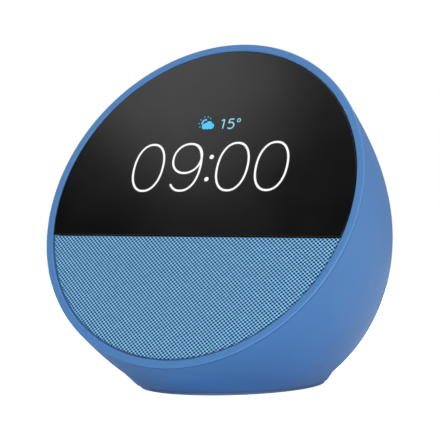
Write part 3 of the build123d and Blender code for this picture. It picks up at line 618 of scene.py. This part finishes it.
# ---------------------------------------------------------------- casing
class SPEAKER_OT_casing(bpy.types.Operator):
    """Finishes the shell, the ring, the buttons, the base and the foot"""

    bl_idname = "speaker.casing"
    bl_label = "Casing"

    def execute(self, context):
        s = context.scene.speaker_casing
        shell = moulded_plastic("Casing plastic", s.shell_colour, s.roughness, s.grain, dust=0.03)
        ring = moulded_plastic("Ring plastic", s.ring_colour, s.roughness - 0.04, s.grain, dust=0.0)
        cap = moulded_plastic("Button plastic", s.shell_colour, s.roughness - 0.05, s.grain, 0.003 * MM)
        wear("rear_shell", shell)
        wear("bezel_ring", ring)
        for side in ("volume_down", "mic_mute", "volume_up"):
            wear(f"{side}_button", cap)
        wear("base_plate", moulded_plastic("Base plastic", ink(26, 33, 44), 0.55, 0.5 * MM, 0.01 * MM))
        wear("foot_pad", moulded_plastic("Foot rubber", s.foot_colour, 0.78, 0.3 * MM, 0.02 * MM, 0.12))
        return {"FINISHED"}


# ---------------------------------------------------------------- window and clock
def d_outline(radius, chord, arc_steps=220, chord_steps=60):
    """Outline of a disc cut off below a level chord, anticlockwise from the chord's right end."""
    start = math.asin(chord / radius)
    angle = np.linspace(start, math.pi - start, arc_steps)
    half = radius * math.cos(start)
    level = np.linspace(-half, half, chord_steps)[1:-1]
    x = np.concatenate([radius * np.cos(angle), level])
    v = np.concatenate([radius * np.sin(angle), np.full(len(level), chord)])
    return x, v


class SPEAKER_OT_window(bpy.types.Operator):
    """Makes the glass window with its softened edge"""

    bl_idname = "speaker.window"
    bl_label = "Window"

    edge: length_setting("Edge", "Radius of the glass's polished edge", 0.22 * MM)

    def execute(self, context):
        radius = np.hypot(WINDOW_X, WINDOW_V).max()
        chord, front, back = WINDOW_V.min(), WINDOW_DEPTH.min(), WINDOW_DEPTH.max()
        turn = np.linspace(0, math.pi / 2, 6)
        inset = np.concatenate([[0.0], self.edge * (1 - np.cos(turn))])
        depth = np.concatenate([[back], front + self.edge * (1 - np.sin(turn))])
        rows = [on_face(*d_outline(radius - i, chord + i), d) for i, d in zip(inset, depth)]
        columns = len(rows[0])
        points = np.concatenate(rows)
        quads = grid_faces(len(rows), columns, wrap_columns=True)
        last = np.arange(columns) + (len(rows) - 1) * columns
        mesh = build_mesh("display_window_glass", points, quads, [np.arange(columns)[::-1], last])
        piece = add_piece(
            "display_window_glass", mesh, black_glass("Black glass"), "housing"
        )
        edge = piece.modifiers.new("flat_front", "WEIGHTED_NORMAL")
        edge.keep_sharp = True
        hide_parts("display_window")
        return {"FINISHED"}


def oval(x, v, half_x, half_v, start, end, power=2.2, steps=140):
    """Part of a superellipse, |x|^p + |v|^p = 1 scaled to its half sizes, between two angles in degrees."""
    angle = np.radians(np.linspace(start, end, steps))
    c, s = np.cos(angle), np.sin(angle)
    across = half_x * np.sign(c) * np.abs(c) ** (2 / power)
    upward = half_v * np.sign(s) * np.abs(s) ** (2 / power)
    return np.stack([x + across, v + upward], axis=1)


def line(x0, v0, x1, v1, steps=24):
    """Straight run between two places."""
    share = np.linspace(0, 1, steps)[:, None]
    return (1 - share) * np.array((x0, v0)) + share * np.array((x1, v1))


def evenly(path, step):
    """The same path with points at equal distances along it."""
    run = np.concatenate([[0], np.cumsum(np.linalg.norm(np.diff(path, axis=0), axis=1))])
    at = np.linspace(0, run[-1], max(8, int(run[-1] / step)))
    return np.stack([np.interp(at, run, path[:, k]) for k in range(2)], axis=1), at


def stroke(path, width, rise, depth, closed=False, sides=10):
    """A flat rounded bar carried along a path: its half width follows a semicircle at both ends.

    Each section is an ellipse, half the width across the path and the rise along the face's normal.
    """
    places, run = evenly(path, 0.12 * MM)
    half = np.full(len(places), width / 2)
    if closed:
        places, half = places[:-1], half[:-1]
        ahead = np.roll(places, -1, axis=0) - np.roll(places, 1, axis=0)
    else:
        ahead = np.gradient(places, axis=0)
        to_end = np.minimum(run, run[-1] - run)
        near = np.clip(1 - to_end / half, 0, 1)
        half = half * np.sqrt(np.clip(1 - near ** 2, 0.0004, 1))
    ahead /= np.linalg.norm(ahead, axis=1)[:, None]
    sideways = np.stack([ahead[:, 1], -ahead[:, 0]], axis=1)
    angle = np.linspace(0, 2 * np.pi, sides, endpoint=False)
    offset = half[:, None] * np.cos(angle)
    x = places[:, :1] + offset * sideways[:, :1]
    v = places[:, 1:] + offset * sideways[:, 1:]
    lift = rise * np.sin(angle)[None, :] * np.ones((len(places), 1))
    points = on_face(x, v, depth - lift).reshape(-1, 3)
    quads = grid_faces(len(places), sides, wrap_rows=closed, wrap_columns=True)
    caps = [] if closed else [np.arange(sides), np.arange(sides)[::-1] + (len(places) - 1) * sides]
    if enclosed_volume(points - points.mean(0), quads) < 0:
        quads, caps = quads[:, ::-1], [cap[::-1] for cap in caps]
    return points, quads, caps


def disc_patch(x, v, radius, rise, depth, rings=6, sides=40, outline=None):
    """A low round button of light: rings shrink towards the middle as a flattened dome."""
    share = np.sin(np.linspace(math.pi / 2, 0, rings, endpoint=False))
    angle = np.linspace(0, 2 * np.pi, sides, endpoint=False)
    reach = radius if outline is None else outline(angle)
    px = x + share[:, None] * (reach * np.cos(angle))[None, :]
    pv = v + share[:, None] * (reach * np.sin(angle))[None, :]
    lift = rise * np.sqrt(1 - share ** 2)[:, None] * np.ones((1, sides))
    points = on_face(px, pv, depth - lift).reshape(-1, 3)
    quads = grid_faces(rings, sides, wrap_columns=True)
    last = np.arange(sides) + (rings - 1) * sides
    return points, quads, [np.arange(sides)[::-1], last]


def joined(parts):
    """Several parts' points, faces and caps as one."""
    points, quads, caps, start = [], [], [], 0
    for p, q, c in parts:
        points.append(p)
        quads.append(np.asarray(q) + start)
        caps += [np.asarray(cap) + start for cap in c]
        start += len(p)
    return np.concatenate(points), np.concatenate(quads), caps


class SPEAKER_OT_clock(bpy.types.Operator):
    """Makes the lit digits, the temperature and the weather sign on the window"""

    bl_idname = "speaker.clock"
    bl_label = "Clock"

    rise: length_setting("Rise", "How far a figure stands off the glass", 0.02 * MM)

    def zero(self, s, x):
        return oval(x, s.middle_v, s.digit_width / 2, s.digit_height / 2, 0, 360, 2.2, 260)

    def nine(self, s, x):
        """A round bowl at the top and a tail that shares the zero's right side and ends low on the left."""
        half_x, half_v = s.digit_width / 2, s.digit_height / 2
        bowl_v = 0.625 * half_v
        bowl = oval(x, s.middle_v + half_v - bowl_v, 0.955 * half_x, bowl_v, 0, 360, 2.1, 220)
        tail = oval(x, s.middle_v, 1.01 * half_x, half_v, 90, -137, 2.25, 240)
        return bowl, tail

    def execute(self, context):
        s = context.scene.speaker_clock
        depth = WINDOW_DEPTH.min()
        flat = (s.stroke, self.rise, depth)
        parts = [stroke(self.zero(s, x * MM), *flat, closed=True) for x in (-21.78, 9.58, 23.6)]
        bowl, tail = self.nine(s, -7.72 * MM)
        parts += [stroke(bowl, *flat, closed=True), stroke(tail, *flat)]
        colon_x = 1.18 * MM
        parts += [disc_patch(colon_x, v * MM, 0.78 * MM, self.rise, depth) for v in (15.09, 7.17)]
        white = lit_figure("Lit white", s.digit_colour, s.glow)
        add_piece("clock_digits", build_mesh("clock_digits", *joined(parts)), white, "housing")

        thin = (0.46 * MM, self.rise, depth)
        strokes = [
            line(2.66, 28.62, 2.66, 25.2), line(1.62, 28.06, 2.66, 28.66),
            line(6.3, 28.62, 4.62, 28.62), line(4.62, 28.62, 4.46, 27.05),
            oval(5.3, 26.34, 1.2, 1.12, 135, -140, 2.0, 60),
        ]
        parts = [stroke(path * MM, *thin) for path in strokes]
        degree_sign = oval(8.0, 28.12, 0.55, 0.6, 0, 360, 2.0, 60) * MM
        parts.append(stroke(degree_sign, 0.32 * MM, *thin[1:], closed=True))
        pale = lit_figure("Lit pale blue", s.figure_colour, s.glow)
        add_piece("clock_temperature", build_mesh("clock_temperature", *joined(parts)), pale, "housing")

        parts = [disc_patch(-3.05 * MM, 26.4 * MM, 1.0, self.rise, depth, 8, 120, cloud_outline)]
        sun_x, sun_v = -4.35, 27.5
        sun_arc = oval(sun_x, sun_v, 1.12, 1.12, 68, 208, 2.0, 60) * MM
        parts.append(stroke(sun_arc, 0.62 * MM, self.rise, depth))
        for angle in (45, 75, 108, 148, 185, 220):
            c, v = math.cos(math.radians(angle)), math.sin(math.radians(angle))
            ray = line(sun_x + 1.95 * c, sun_v + 1.95 * v, sun_x + 2.5 * c, sun_v + 2.5 * v)
            parts.append(stroke(ray * MM, 0.3 * MM, self.rise, depth))
        blue = lit_figure("Lit sky blue", s.cloud_colour, s.glow)
        add_piece("clock_weather", build_mesh("clock_weather", *joined(parts)), blue, "housing")
        return {"FINISHED"}


def cloud_outline(angle):
    """Reach of the cloud's outline from its middle: the furthest of four discs on a flat base."""
    direction = np.stack([np.cos(angle), np.sin(angle)])
    reach = np.zeros(len(angle))
    for x, v, radius in ((-1.15, -0.1, 1.12), (0.15, 0.42, 1.3), (1.2, -0.15, 1.05), (0.0, -0.25, 1.0)):
        centre = np.array((x, v))
        along = direction.T @ centre
        inside = radius ** 2 - (centre @ centre - along ** 2)
        reach = np.maximum(reach, np.where(inside > 0, along + np.sqrt(np.maximum(inside, 0)), 0))
    floor = np.where(direction[1] < -1e-6, -1.25 / np.minimum(direction[1], -1e-6), 1e9)
    return np.minimum(reach, floor) * MM


# ---------------------------------------------------------------- cloth
def weave_height(s, r, crown, wave):
    """Height of a plain weave at thread counts s and r.

    Each thread has a round top, crown * sqrt(1 - (2 * offset)^2), and rises and falls as the cosine of the
    crossings along it. The surface is the higher of the two threads.
    """
    column, row = np.round(s), np.round(r)
    first = crown * np.sqrt(np.clip(1 - (2 * (r - row)) ** 2, 0, 1)) + wave * np.cos(np.pi * (s - row))
    second = crown * np.sqrt(np.clip(1 - (2 * (s - column)) ** 2, 0, 1))
    second = second - wave * np.cos(np.pi * (r - column))
    return np.maximum(first, second)


class SPEAKER_OT_cloth(bpy.types.Operator):
    """Weaves the loudspeaker cloth over its plate, thread by thread, and turns it back at the edge"""

    bl_idname = "speaker.cloth"
    bl_label = "Cloth"

    samples: bpy.props.IntProperty(name="Samples", description="Grid points per thread", min=3, default=5)

    def execute(self, context):
        c = context.scene.speaker_cloth
        radius, top = np.hypot(CLOTH_X, CLOTH_V).max(), CLOTH_V.max()
        front, back = CLOTH_DEPTH.min(), CLOTH_DEPTH.max()
        step = c.pitch / math.sin(2 * c.slant)
        reach = int(1.05 * radius / step / math.cos(c.slant)) + 2
        count = (np.arange(-reach * self.samples, reach * self.samples) + 0.5) / self.samples
        s, r = np.meshgrid(count, count, indexing="ij")
        x = (s + r) * step * math.cos(c.slant)
        v = (s - r) * step * math.sin(c.slant) + (top - radius) / 2
        height = weave_height(s, r, c.crown, c.wave)

        # Distance inside the outline, and the direction out of it, for the disc and for the level top.
        away = np.hypot(x, v)
        from_disc, from_top = radius - away, top - v
        nearest_top = from_top < from_disc
        inside = np.where(nearest_top, from_top, from_disc)
        out_x = np.where(nearest_top, 0.0, x / np.maximum(away, 1e-9))
        out_v = np.where(nearest_top, 1.0, v / np.maximum(away, 1e-9))

        # Past the flat part the cloth follows a quarter turn and then runs straight back.
        turn_length = c.edge_round * math.pi / 2
        longest = turn_length + 0.25 * MM
        past = np.clip(c.edge_round - inside, 0, longest)
        angle = np.minimum(past, turn_length) / c.edge_round
        straight = np.maximum(past - turn_length, 0)
        flat_x = x - out_x * np.maximum(c.edge_round - inside, 0)
        flat_v = v - out_v * np.maximum(c.edge_round - inside, 0)
        along = c.edge_round * np.sin(angle)
        crest = front + c.crown + c.wave
        depth = crest + c.edge_round * (1 - np.cos(angle)) + straight
        sink = c.crown + c.wave - height
        points = on_face(
            flat_x + out_x * (along - sink * np.sin(angle)),
            flat_v + out_v * (along - sink * np.sin(angle)),
            np.minimum(depth - height * np.cos(angle), back),
        )
        free = (c.edge_round - inside) < longest
        quads = grid_faces(*s.shape)
        kept = quads[free.ravel()[quads].any(axis=1)]
        used, kept = np.unique(kept, return_inverse=True)
        kept = kept.reshape(-1, 4)
        points = points.reshape(-1, 3)[used]
        a, b, d = (points[kept[:, i]] for i in (0, 1, 3))
        if (np.cross(b - a, d - a) @ NORMAL).sum() < 0:
            kept = kept[:, ::-1]
        mesh = build_mesh("grille_cloth_weave", points, kept)
        corners = np.empty(len(mesh.loops), np.int32)
        mesh.loops.foreach_get("vertex_index", corners)
        threads = np.stack([s.ravel()[used], r.ravel()[used]], axis=1)[corners]
        layer = mesh.uv_layers.new(name="threads")
        layer.data.foreach_set("uv", threads.astype(np.float32).ravel())
        piece = add_piece(
            "grille_cloth_weave", mesh, loudspeaker_cloth("Loudspeaker cloth", c), "housing"
        )
        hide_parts("grille_cloth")
        return {"FINISHED"}


# ---------------------------------------------------------------- inside
BLACK_PLASTIC = ink(18, 18, 20)
INSIDE_LOOKS = {
    "foam_black": lambda: moulded_plastic("Black foam", ink(16, 16, 17), 0.9, 0.25 * MM, 0.05 * MM, 0.2),
    "panel_glass": lambda: black_glass("Panel glass"),
    "tray_steel": lambda: metal_finish("Tray steel", ink(200, 200, 204)),
    "bracket_steel": lambda: metal_finish("Bracket steel", ink(188, 190, 194), 0.36),
    "flex_amber": lambda: moulded_plastic("Amber film", ink(190, 118, 40), 0.25, 0.6 * MM, 0.002 * MM, 0.1),
    "frame_plastic": lambda: moulded_plastic("Frame plastic", BLACK_PLASTIC, 0.55, 0.3 * MM, 0.008 * MM),
    "screw_steel": lambda: metal_finish("Screw steel", ink(180, 182, 186), 0.3, 9000.0),
    "basket_steel": lambda: moulded_plastic("Basket paint", ink(28, 28, 31), 0.35, 0.5 * MM, 0.01 * MM),
    "rubber_black": lambda: moulded_plastic("Black rubber", ink(20, 20, 21), 0.7, 0.4 * MM, 0.01 * MM),
    "cone_paper": lambda: turned_finish("Cone paper", ink(58, 56, 54), 0.9 * MM, 0.85),
    "copper_wire": lambda: turned_finish("Copper wire", ink(205, 120, 66), 0.2 * MM, 0.3, 1.0),
    "spider_cloth": lambda: turned_finish("Spider cloth", ink(205, 172, 104), 0.5 * MM, 0.85),
    "motor_steel": lambda: metal_finish("Motor steel", ink(172, 174, 178), 0.28),
    "magnet_ferrite": lambda: moulded_plastic("Ferrite", ink(42, 42, 45), 0.6, 0.2 * MM, 0.02 * MM, 0.15),
    "board_green": lambda: board_finish("Board green", ink(20, 92, 58)),
    "enclosure_plastic": lambda: moulded_plastic(
        "Enclosure plastic", ink(30, 30, 33), 0.5, 0.4 * MM, 0.008 * MM
    ),
    "wire_red": lambda: moulded_plastic("Red sheath", ink(170, 22, 20), 0.35, 0.8 * MM, 0.003 * MM),
    "wire_black": lambda: moulded_plastic("Black sheath", ink(15, 15, 16), 0.35, 0.8 * MM, 0.003 * MM),
    "standoff_brass": lambda: metal_finish("Standoff brass", ink(214, 176, 104), 0.3),
    "chip_black": lambda: moulded_plastic("Chip epoxy", ink(17, 17, 19), 0.6, 0.15 * MM, 0.01 * MM, 0.12),
    "pad_grey": lambda: moulded_plastic("Thermal pad", ink(140, 148, 158), 0.8, 0.3 * MM, 0.02 * MM, 0.12),
    "spreader_aluminium": lambda: metal_finish("Spreader aluminium", ink(214, 216, 219), 0.38, 4000.0),
    "connector_plastic": lambda: moulded_plastic("Connector plastic", ink(222, 216, 196), 0.5, 0.4 * MM),
    "capacitor_aluminium": lambda: metal_finish("Capacitor can", ink(196, 198, 202), 0.3),
    "switch_plastic": lambda: moulded_plastic("Switch plastic", ink(22, 22, 23), 0.5, 0.3 * MM, 0.006 * MM),
    "shield_metal": lambda: metal_finish("Shield metal", ink(200, 192, 162), 0.3),
    "pin_brass": lambda: metal_finish("Pin plating", ink(222, 198, 136), 0.22),
    "weight_steel": lambda: metal_finish("Weight steel", ink(128, 128, 131), 0.45, 3000.0),
}


class SPEAKER_OT_inside(bpy.types.Operator):
    """Finishes every part inside the casing by its material"""

    bl_idname = "speaker.inside"
    bl_label = "Inside"

    def execute(self, context):
        made = {}
        for row in frame["record"]["subparts"]:
            maker = INSIDE_LOOKS.get(row["material_slot"])
            if maker:
                slot = row["material_slot"]
                made[slot] = made.get(slot) or maker()
                wear(row["node"], made[slot])
        return {"FINISHED"}


# ---------------------------------------------------------------- studio
def softbox(name, place, target, width, height, power, colour=(1.0, 1.0, 1.0)):
    """A rectangular light that faces its target."""
    lamp = bpy.data.lights.new(name, "AREA")
    lamp.shape = "RECTANGLE"
    lamp.size, lamp.size_y, lamp.energy, lamp.color = width, height, power, colour
    light = bpy.data.objects.new(name, lamp)
    light.location = place
    light.rotation_mode = "QUATERNION"
    light.rotation_quaternion = (Vector(target) - Vector(place)).to_track_quat("-Z", "Y")
    bpy.context.scene.collection.objects.link(light)
    return light


class SPEAKER_OT_stage(bpy.types.Operator):
    """Sets up the pale floor, the soft lights and the camera"""

    bl_idname = "speaker.stage"
    bl_label = "Studio"

    middle_height = 0.055   # the point that the lights face, above the table
    glow_reach = 0.4        # the window's light, from the face's centre along the mirrored view
    glow_rise = 0.09        # and up the face
    glow_left = 0.05        # and to the left

    def floor(self, settings):
        """A round table top: rings of points round the speaker, closed at the middle by a small cap."""
        rings, sides = 40, 96
        reach = settings.floor_radius * np.linspace(0.02, 1, rings) ** 1.5
        angle = np.linspace(0, 2 * np.pi, sides, endpoint=False)
        x, y = reach[:, None] * np.cos(angle), reach[:, None] * np.sin(angle)
        points = np.stack([x, y, np.zeros_like(x)], axis=2).reshape(-1, 3)
        mesh = build_mesh("floor", points, grid_faces(rings, sides, wrap_columns=True), [np.arange(sides)])
        material, n, shader, place = start_material("Studio floor")
        cloud = n.noise(place, 3.0, 2.0)
        shade = toned(settings.floor_colour, 0.985)
        n.feed(shader["Base Color"], n.blend(cloud, settings.floor_colour, shade))
        shader["Roughness"].default_value = 0.9
        shader["Specular IOR Level"].default_value = 0.1
        shader["Emission Color"].default_value = (1, 1, 1, 1)
        seen = n.put("ShaderNodeLightPath").outputs["Is Camera Ray"]
        n.feed(shader["Emission Strength"], n.math("MULTIPLY", seen, settings.floor_lift))
        mesh.materials.append(material)
        piece = bpy.data.objects.new("floor", mesh)
        bpy.context.scene.collection.objects.link(piece)

    def world(self, settings):
        """Even light, dark where the face would mirror it; the camera itself sees plain white."""
        world = bpy.data.worlds.new("Studio")
        world.use_nodes = True
        bpy.context.scene.world = world
        n = Nodes(world.node_tree)
        n.tree.nodes.clear()
        toward = n.put("ShaderNodeVectorMath", operation="DOT_PRODUCT")
        n.feed(toward.inputs[0], n.put("ShaderNodeTexCoord").outputs["Generated"])
        toward.inputs[1].default_value = self.mirrored(settings)
        shade = n.spread(toward.outputs["Value"], 0.05, 0.8, settings.room_light, settings.room_light * 0.01)
        lit, seen = n.put("ShaderNodeBackground"), n.put("ShaderNodeBackground")
        n.feed(lit.inputs[1], shade)
        mix = n.put("ShaderNodeMixShader")
        n.feed(mix.inputs[0], n.put("ShaderNodeLightPath").outputs["Is Camera Ray"])
        n.feed(mix.inputs[1], lit.outputs[0])
        n.feed(mix.inputs[2], seen.outputs[0])
        seen.inputs[0].default_value = (1, 1, 1, 1)
        n.feed(n.put("ShaderNodeOutputWorld").inputs[0], mix.outputs[0])

    def mirrored(self, settings):
        """Direction in which the face mirrors the first camera's view."""
        back = np.array(settings.camera_place) / np.linalg.norm(settings.camera_place)
        return tuple(2 * (NORMAL @ back) * NORMAL - back)

    def camera(self, settings):
        """The camera, placed from the face's centre."""
        a, e = settings.camera_azimuth, settings.camera_elevation
        back = Vector((math.sin(a) * math.cos(e), -math.cos(a) * math.cos(e), math.sin(e)))
        data = bpy.data.cameras.new("camera")
        data.lens, data.sensor_width, data.clip_start, data.clip_end = settings.lens, 36, 0.01, 20
        camera = bpy.data.objects.new("camera", data)
        camera.location = FACE_CENTRE + np.array(settings.camera_place)
        camera.rotation_mode = "QUATERNION"
        camera.rotation_quaternion = (-back).to_track_quat("-Z", "Y")
        bpy.context.scene.collection.objects.link(camera)
        bpy.context.scene.camera = camera

    def execute(self, context):
        s = context.scene.speaker_studio
        context.scene.view_settings.view_transform = "Standard"
        self.floor(s)
        self.world(s)
        self.camera(s)
        middle = (0, 0, self.middle_height)
        glow = FACE_CENTRE + self.glow_reach * np.array(self.mirrored(s))
        glow = glow + self.glow_rise * UP - self.glow_left * ACROSS
        softbox("glass_light", glow, tuple(FACE_CENTRE), 0.14, 0.1, s.glass_power)
        softbox("key_light", (0.6, -0.95, 0.35), middle, 0.6, 0.6, s.key_power)
        softbox("side_light", (0.9, 0.5, 0.45), middle, 0.8, 0.8, s.fill_power)
        softbox("left_light", (-0.9, 0.1, 0.15), middle, 0.5, 0.4, s.left_power)
        softbox("top_light", (0.0, 0.1, 1.2), middle, 1.6, 1.6, s.top_power)
        return {"FINISHED"}


# ---------------------------------------------------------------- add-on
SETTINGS = {
    "speaker_casing": CasingSettings,
    "speaker_cloth": ClothSettings,
    "speaker_clock": ClockSettings,
    "speaker_studio": StudioSettings,
}
STEPS = (
    SPEAKER_OT_stage, SPEAKER_OT_casing, SPEAKER_OT_window, SPEAKER_OT_clock, SPEAKER_OT_cloth,
    SPEAKER_OT_inside,
)


class SPEAKER_PT_panel(bpy.types.Panel):
    """Speaker settings and steps"""

    bl_idname = "SPEAKER_PT_panel"
    bl_label = "Smart speaker"
    bl_space_type = "VIEW_3D"
    bl_region_type = "UI"
    bl_category = "Speaker"

    def draw(self, context):
        for name in SETTINGS:
            box = self.layout.box()
            box.label(text=name.replace("_", " ").capitalize())
            settings = getattr(context.scene, name)
            for key in settings.__annotations__:
                box.prop(settings, key)
        for step in STEPS:
            self.layout.operator(step.bl_idname)


def register():
    for group in SETTINGS.values():
        bpy.utils.register_class(group)
    for name, group in SETTINGS.items():
        setattr(bpy.types.Scene, name, bpy.props.PointerProperty(type=group))
    for step in STEPS:
        bpy.utils.register_class(step)
    bpy.utils.register_class(SPEAKER_PT_panel)


def unregister():
    bpy.utils.unregister_class(SPEAKER_PT_panel)
    for step in reversed(STEPS):
        bpy.utils.unregister_class(step)
    for name, group in SETTINGS.items():
        delattr(bpy.types.Scene, name)
        bpy.utils.unregister_class(group)


def main():
    """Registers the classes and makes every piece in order."""
    register()
    bpy.ops.speaker.stage()
    bpy.ops.speaker.casing()
    bpy.ops.speaker.window()
    bpy.ops.speaker.clock()
    bpy.ops.speaker.cloth()
    bpy.ops.speaker.inside()


if __name__ == "__main__":
    main()
